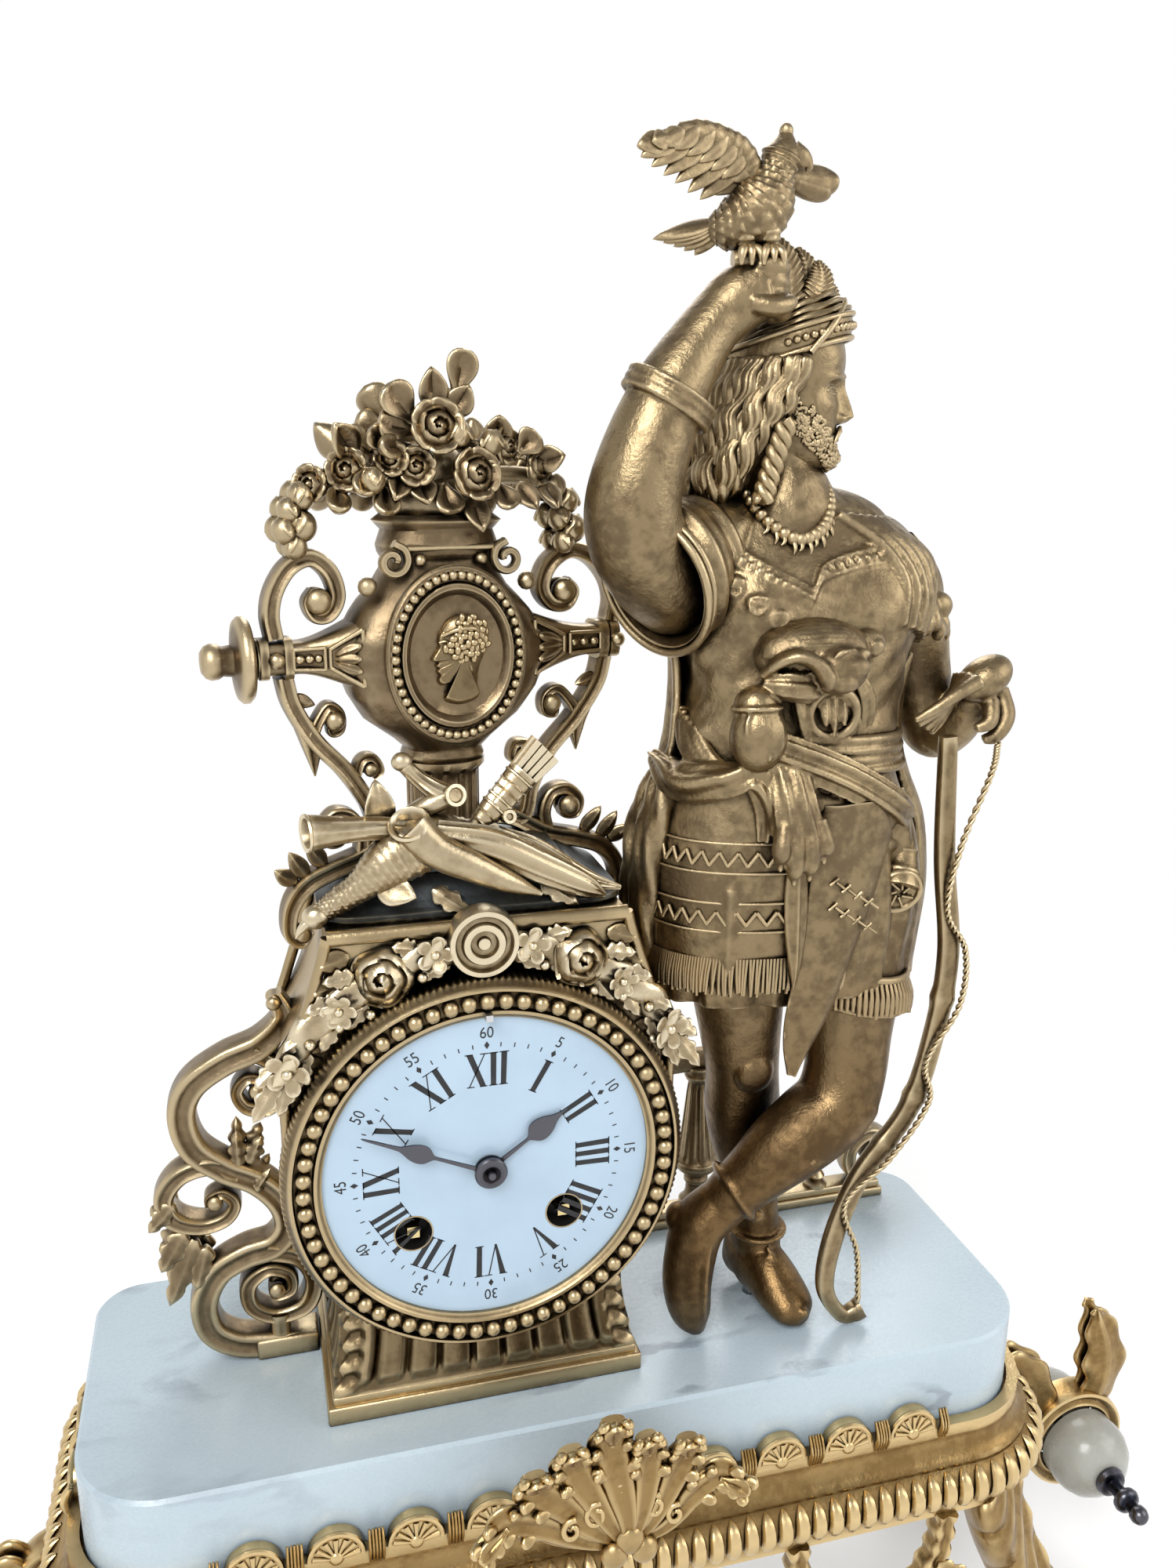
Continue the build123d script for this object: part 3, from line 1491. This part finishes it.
def hand(length, angle, bore, eye, low):
    """A slim hand with a round eye, a leaf-shaped bulb and a pointed end."""
    place = length * hand_bulb_place_share
    tail = place + hand_bulb_length
    outline = Circle(eye) + Pos(place / 2, 0) * Rectangle(place, 2 * hand_stem)
    outline += lens((place - hand_stem, 0), (tail, 0), hand_bulb_half)
    outline += Polygon((place, hand_stem * 2), (place, -hand_stem * 2), (length, 0), align=None)
    outline -= Circle(bore)
    return slice_at(Rot(0, 0, angle) * outline, 0, 0, low, low + hand_thickness)


def minute_hand():
    low = hub_floor()
    blade = hand(minute_hand_length, minute_hand_angle, cannon_radius, hub_radius, low)
    cover = peg(dial_frame, 0, 0, low + hand_thickness, low + hand_thickness + hub_rise, hub_radius)
    return blade + cover


def hour_hand():
    return hand(hour_hand_length, hour_hand_angle, hour_pipe_radius, hub_radius, hand_clearance)


def train_arbor(x, y, radius):
    """An arbor between the plates with a pivot in each."""
    low = -back_plate_front + running_clearance
    high = -front_plate_back - running_clearance
    arbor = peg(dial_frame, x, y, low, high, radius)
    return arbor + peg(dial_frame, x, y, -back_plate_back, -front_plate_front, pivot_radius)


def train_level(step):
    """The height of one of four even steps between the plates."""
    return -back_plate_front + plate_gap * step / 4


def centre_wheel():
    low = train_level(2)
    face = gear_face(centre_teeth, train_module, third_angle)
    wheel = crossed_out(face, centre_teeth * train_module / 2 - train_module, arbor_radius + spoke_width)
    solid = slice_at(wheel, 0, 0, low, low + wheel_thickness)
    solid += slice_at(Circle(arbor_radius + spoke_width), 0, 0, low - wheel_thickness, low)
    tip = hub_floor() + hand_thickness - running_clearance
    return solid + peg(dial_frame, 0, 0, -back_plate_back, tip, arbor_radius)


def third_wheel():
    x, y = third_place()
    back = third_angle + 180
    pinion = gear_face(third_pinion_teeth, train_module, mesh_phase(third_pinion_teeth, back))
    low = train_level(2)
    solid = slice_at(pinion, x, y, low - wheel_thickness / 2, low + wheel_thickness * 1.5)
    high = train_level(3)
    face = gear_face(third_teeth, third_module, escape_angle)
    wheel = crossed_out(face, third_teeth * third_module / 2 - third_module, arbor_radius + spoke_width / 2)
    solid += slice_at(wheel, x, y, high, high + wheel_thickness)
    return solid + train_arbor(x, y, arbor_radius)


def escape_wheel():
    x, y = escape_place()
    back = escape_angle + 180
    high = train_level(3)
    pinion = gear_face(escape_pinion_teeth, third_module, mesh_phase(escape_pinion_teeth, back))
    solid = slice_at(pinion, x, y, high - wheel_thickness / 2, high + wheel_thickness * 1.5)
    points = []
    for k in range(escape_teeth):
        root = polar(escape_radius - escape_tooth_depth, 360 * k / escape_teeth)
        tip = polar(escape_radius, 360 * (k + escape_hook_share) / escape_teeth)
        points += [root, tip]
    rim = escape_radius - escape_tooth_depth
    wheel = crossed_out(Polygon(*points, align=None), rim, arbor_radius + spoke_width / 2)
    low = train_level(1)
    solid += slice_at(wheel, x, y, low, low + wheel_thickness)
    return solid + train_arbor(x, y, escape_arbor_radius)


def pallet_place():
    """The height of the pallet arbor above the dial's centre."""
    return pallet_rise


def pallets():
    """The anchor, its arbor and the crutch with a fork for the pendulum rod."""
    top = pallet_place()
    ex, ey = escape_place()
    low = train_level(1)
    reach = escape_radius + pallet_gap + anchor_bar / 2
    arms = Circle(arbor_radius + anchor_bar / 2)
    arms = Pos(0, top) * arms
    for side in (-1, 1):
        nib_x = ex + side * anchor_half_span
        nib_y = ey + math.sqrt(reach * reach - anchor_half_span * anchor_half_span)
        run = Vector(nib_x, nib_y - top)
        slope = math.degrees(math.atan2(run.Y, run.X))
        arms += Pos(nib_x / 2, (nib_y + top) / 2) * Rot(0, 0, slope) * Rectangle(run.length, anchor_bar)
        arms += Pos(nib_x, nib_y) * Circle(anchor_bar / 2)
    anchor = slice_at(arms, 0, 0, low - (anchor_thickness - wheel_thickness) / 2, low + anchor_thickness)
    arbor = peg(dial_frame, 0, top, -back_plate_back - cock_set, -front_plate_front, pivot_radius)
    arbor += peg(dial_frame, 0, top, low - anchor_thickness, low + 2 * anchor_thickness, arbor_radius)
    crutch_low = -back_plate_back - crutch_set - crutch_thickness
    crutch = Pos(0, top - crutch_length / 2) * Rectangle(crutch_bar, crutch_length)
    crutch += Pos(0, top) * Circle(crutch_bar)
    solid = anchor + arbor + slice_at(crutch, 0, 0, crutch_low, crutch_low + crutch_thickness)
    gap = rod_radius + fork_clearance
    foot = Pos(0, top - crutch_length) * Rectangle(2 * gap + 2 * crutch_bar, crutch_bar)
    solid += slice_at(foot, 0, 0, crutch_low, crutch_low + crutch_thickness)
    for side in (-1, 1):
        prong = Pos(side * (gap + crutch_bar / 2), top - crutch_length) * Rectangle(crutch_bar, crutch_bar)
        solid += slice_at(prong, 0, 0, pendulum_level() - rod_radius, crutch_low)
    return solid


def pendulum_level():
    """How far behind the dial's face the pendulum rod hangs."""
    return -back_plate_back - cock_set - cock_thickness - chops_depth / 2


def suspension_cock():
    """A bridge behind the back plate that carries the suspension spring and the regulator's rear end."""
    top = pallet_place()
    front = -back_plate_back
    low = front - cock_set - cock_thickness
    bridge = Pos(0, top) * Rectangle(2 * cock_half, 2 * (arbor_radius + cock_post_radius))
    bridge += Pos(0, (top + regulator_place) / 2) * Rectangle(2 * cock_eye_radius, regulator_place - top)
    bridge += Pos(0, regulator_place) * Circle(cock_eye_radius)
    cock = slice_at(bridge, 0, 0, low, low + cock_thickness)
    cock -= peg(dial_frame, 0, top, -case_depth, overrun, pivot_radius + running_clearance)
    cock -= peg(dial_frame, 0, regulator_place, -case_depth, overrun, regulator_radius + running_clearance)
    for side in (-1, 1):
        cock += peg(dial_frame, side * (cock_half - cock_post_radius), top, low, front, cock_post_radius)
    chops_foot = top + spring_length / 2
    chops = Pos(0, chops_foot + chops_height / 2) * Rectangle(2 * chops_half, chops_height)
    cock += slice_at(chops, 0, 0, low - chops_depth, low)
    strip = Pos(0, top) * Rectangle(spring_thickness, spring_length)
    middle = low - chops_depth / 2
    return cock + slice_at(strip, 0, 0, middle - spring_width / 2, middle + spring_width / 2)


def pendulum():
    """A round rod with a lens-shaped bob."""
    top = pallet_place()
    start = top - spring_length / 2 - hang_gap
    bob = top - pendulum_length
    level = pendulum_level()
    rod = Plane(origin=dial_frame.from_local_coords((0, bob, level)), z_dir=(0, 0, 1))
    solid = rod * Cylinder(rod_radius, start - bob, align=bottom_align)
    half = bob_thickness / 2
    rim = half * bob_rim_share
    middle = bob_radius * bob_shoulder_share
    thick = half * bob_swell_share
    points = [(0, -half), (middle, -thick), (bob_radius, -rim)]
    points += [(bob_radius, rim), (middle, thick), (0, half)]
    return solid + revolved(points, Plane(origin=rod.origin, x_dir=(1, 0, 0), z_dir=(0, -1, 0)))


def regulator_arbor():
    """A long arbor from above the XII to the suspension, with a square for a small key."""
    back = -back_plate_back - cock_set - cock_thickness
    rod = peg(dial_frame, 0, regulator_place, back, bezel_flange_rise, regulator_radius)
    square = Pos(0, regulator_place) * Rectangle(regulator_square, regulator_square)
    seat = back - running_clearance
    collar = peg(dial_frame, 0, regulator_place, back - cock_thickness, seat, regulator_radius * 2)
    rod += peg(dial_frame, 0, regulator_place, seat, back, regulator_radius)
    return rod + slice_at(square, 0, 0, bezel_flange_rise, bezel_flange_rise + regulator_stand) + collar


def spring_barrel(x, y):
    """A barrel with a plain great-wheel rim, a ratchet in front of the plate and a winding square."""
    back = -back_plate_front + running_clearance
    drum = peg(dial_frame, x, y, back, back + barrel_length, barrel_radius)
    drum += peg(dial_frame, x, y, back, back + barrel_rim_width, barrel_rim_radius)
    front = -front_plate_back - running_clearance
    drum += peg(dial_frame, x, y, back, front, arbor_radius * 2)
    ratchet_low = -front_plate_front + running_clearance
    drum += peg(dial_frame, x, y, -back_plate_back, ratchet_low + wheel_thickness, arbor_radius)
    points = []
    for k in range(ratchet_teeth):
        points.append(polar(ratchet_radius - ratchet_depth, 360 * k / ratchet_teeth))
        points.append(polar(ratchet_radius, 360 * k / ratchet_teeth))
    drum += slice_at(Polygon(*points, align=None), x, y, ratchet_low, ratchet_low + wheel_thickness)
    square = Rectangle(square_side, square_side)
    return drum + slice_at(square, x, y, ratchet_low + wheel_thickness, -square_stand)


def bell():
    """A shallow cup on a post from the back plate, held by a nut."""
    rim = -back_plate_back - bell_set
    crown = rim - bell_depth
    inner = bell_radius - bell_wall
    bell_bend = bell_bend_share
    bend = crown + bell_depth * bell_bend_height_share
    edges = [
        Line((bell_post_radius, 0, crown), (bell_radius / 2, 0, crown)),
        ThreePointArc((bell_radius / 2, 0, crown), (bell_bend * bell_radius, 0, bend), (bell_radius, 0, rim)),
        Line((bell_radius, 0, rim), (inner, 0, rim)),
        ThreePointArc(
            (inner, 0, rim),
            (bell_bend * inner, 0, bend + bell_wall),
            (bell_radius / 2, 0, crown + bell_wall),
        ),
        Line((bell_radius / 2, 0, crown + bell_wall), (bell_post_radius, 0, crown + bell_wall)),
        Line((bell_post_radius, 0, crown + bell_wall), (bell_post_radius, 0, crown)),
    ]
    cup = dial_frame * (Pos(bell_x, bell_y, 0) * revolve(make_face(edges), axis=Axis.Z))
    return cup


def bell_post():
    """The post with a collar under the bell and a nut behind it."""
    crown = -back_plate_back - bell_set - bell_depth
    post = peg(dial_frame, bell_x, bell_y, crown - bell_nut_height, -back_plate_back, bell_post_radius)
    post += peg(dial_frame, bell_x, bell_y, crown - bell_nut_height, crown, bell_nut_radius)
    collar = crown + bell_wall
    return post + peg(dial_frame, bell_x, bell_y, collar, collar + bell_nut_height, bell_nut_radius)


def hammer():
    """An arbor in both plates with a rod and a round head beside the bell's rim."""
    level = -back_plate_back - bell_set - hammer_head_radius
    arbor = peg(dial_frame, hammer_x, hammer_y, level - hammer_rod, -front_plate_front, pivot_radius)
    low = -back_plate_front + running_clearance
    high = -front_plate_back - running_clearance
    arbor += peg(dial_frame, hammer_x, hammer_y, low, high, arbor_radius)
    head_x = bell_x - bell_radius - hammer_gap - hammer_head_length
    end = Vector(head_x + hammer_rod, bell_y, level)
    start = Vector(hammer_x, hammer_y, level)
    rod = round_rod(start, end, hammer_rod, hammer_rod)
    eye = Cylinder(2 * hammer_rod, 2 * hammer_rod, align=bottom_align)
    eye = Pos(hammer_x, hammer_y, level - hammer_rod) * eye
    head = Cylinder(hammer_head_radius, hammer_head_length, align=bottom_align)
    return arbor + dial_frame * (rod + eye + Pos(head_x, bell_y, level) * Rot(0, 90, 0) * head)


def hinge_line():
    """Where the rear door's hinge stands: X and Y in the part's frame."""
    return dial_x - hinge_reach, case_back + rear_ring_depth + hinge_set


def knuckle(low, length, bore):
    x, y = hinge_line()
    tube = Pos(x, y, dial_centre[2] + low) * Cylinder(knuckle_radius, length, align=bottom_align)
    return tube - Pos(x, y, dial_centre[2]) * Cylinder(bore, overrun + length) if bore else tube


def rear_bezel():
    """A flat ring behind the drum with two hinge knuckles and the pin through them."""
    back = Plane(origin=(dial_x, case_back, dial_centre[2]), x_dir=(1, 0, 0), z_dir=(0, 1, 0))
    ring = back * extrude(Circle(drum_radius) - Circle(rear_ring_inner), amount=rear_ring_depth)
    x, y = hinge_line()
    half = knuckle_length / 2 + knuckle_gap
    for low in (half, -half - knuckle_length):
        ring += knuckle(low, knuckle_length, 0)
        lug = Box(2 * knuckle_radius, hinge_set, knuckle_length, align=bottom_align)
        ring += Pos(x, y - hinge_set / 2, dial_centre[2] + low) * lug
    pin = Cylinder(hinge_pin_radius, 2 * half + knuckle_length)
    return ring + Pos(x, y, dial_centre[2]) * pin


def rear_door():
    """A dished round door with a hinge knuckle and a small knob."""
    y = case_back + rear_ring_depth
    back = Plane(origin=(dial_x, y, dial_centre[2]), x_dir=(1, 0, 0), z_dir=(0, 1, 0))
    radius = rear_ring_inner - door_gap
    door = back * extrude(Circle(radius), amount=-door_thickness)
    dish = back * extrude(Circle(door_dish_radius), amount=door_dish)
    door += dish
    door += peg(back, door_knob_place, 0, -door_thickness, door_knob_length, door_knob_radius)
    hx, hy = hinge_line()
    tab_width = dial_x - radius - hx + knuckle_radius
    tab = Box(tab_width, door_thickness, knuckle_length, align=(Align.MIN, Align.MIN, Align.CENTER))
    door += Pos(hx, y + knuckle_gap, dial_centre[2]) * tab
    root_align = (Align.MIN, Align.MIN, Align.CENTER)
    root = Box(2 * knuckle_radius, door_thickness + knuckle_gap, knuckle_length, align=root_align)
    door += Pos(dial_x - radius + knuckle_gap, y - door_thickness / 2, dial_centre[2]) * root
    door += knuckle(-knuckle_length / 2, knuckle_length, 0)
    bore = hinge_pin_radius + running_clearance
    return door - Pos(hx, hy, dial_centre[2]) * Cylinder(bore, 2 * knuckle_length)


def build():
    """Every node of the clock, by name."""
    nodes = {"marble_slab": marble_slab(), "hold_down_bolts": hold_down_bolts()}
    tray = base_tray()
    nodes["base_tray"] = tray
    for side_y, row in ((-1, "front"), (1, "rear")):
        for side_x, column in ((-1, "left"), (1, "right")):
            nodes[f"leg_{row}_{column}"] = corner_leg(side_x, side_y)
    nodes["base_aprons"] = base_aprons(tray)
    nodes["front_cartouche"] = front_cartouche(tray)
    nodes["handle_left"] = end_handle(-1, tray)
    nodes["handle_right"] = end_handle(1, tray)
    nodes["alabaster_buns"] = alabaster_buns()
    nodes["bun_spindles"] = bun_spindles()
    drum = case_drum()
    plinth = case_plinth()
    cap = case_cap()
    ring = rear_bezel()
    body = limb(body_shares, level=True)
    stand = standing_leg(body)
    cross = crossed_leg(body, stand)
    head = figure_head(body)
    arm = raised_arm(body, head)
    hand_arm = lowered_arm(body)
    skins = waist_skins(body, (stand, cross), hand_arm)
    urn = urn_body() - arm - body
    medallion = urn_medallion()
    nodes["case_drum"] = drum
    nodes["case_plinth"] = plinth
    nodes["case_cap"] = cap
    nodes["floral_swag"] = floral_swag()
    nodes["game_trophy"] = game_trophy(cap, urn, medallion)
    nodes["urn_body"] = urn
    nodes["urn_medallion"] = medallion
    nodes["urn_scroll_left"] = urn_scroll(-1, (urn, cap))
    nodes["urn_scroll_right"] = urn_scroll(1, (urn, cap, body, arm, skins))
    nodes["urn_bouquet"] = urn_bouquet(urn)
    nodes["side_scroll"] = side_scroll(drum, plinth)
    nodes["rear_balustrade"] = rear_balustrade(drum, ring)
    nodes["rear_bezel"] = ring
    nodes["figure_body"] = body
    nodes["standing_leg"] = stand
    nodes["crossed_leg"] = cross
    nodes["figure_head"] = head
    nodes["raised_arm"] = arm
    nodes["lowered_arm"] = hand_arm
    nodes["falcon"] = falcon(arm)
    nodes["waist_skins"] = skins
    stave = bow((cross, hand_arm, skins, body, stand))
    nodes["bow"] = stave
    nodes["bow_wire"] = bow_wire((cross, hand_arm, skins, stave))
    nodes["bezel"] = bezel()
    nodes["dial"] = dial()
    nodes["front_plate"] = front_plate()
    nodes["back_plate"] = back_plate()
    nodes["plate_pillars"] = plate_pillars()
    nodes["case_straps"] = case_straps()
    nodes["rear_door"] = rear_door()
    nodes["cannon_pinion"] = cannon_pinion()
    nodes["minute_hand"] = minute_hand()
    nodes["hour_wheel"] = hour_wheel()
    nodes["hour_hand"] = hour_hand()
    nodes["minute_wheel"] = minute_wheel()
    nodes["centre_wheel"] = centre_wheel()
    nodes["third_wheel"] = third_wheel()
    nodes["escape_wheel"] = escape_wheel()
    nodes["pallets"] = pallets()
    nodes["suspension_cock"] = suspension_cock()
    nodes["pendulum"] = pendulum()
    nodes["regulator_arbor"] = regulator_arbor()
    nodes["going_barrel"] = spring_barrel(*winding_places()[0])
    nodes["strike_barrel"] = spring_barrel(*winding_places()[1])
    nodes["bell"] = bell()
    nodes["bell_post"] = bell_post()
    nodes["hammer"] = hammer()
    return nodes


os.makedirs("parts", exist_ok=True)
for name, shape in build().items():
    export_step(shape, f"parts/{name}.step")
    print(name, len(shape.solids()))
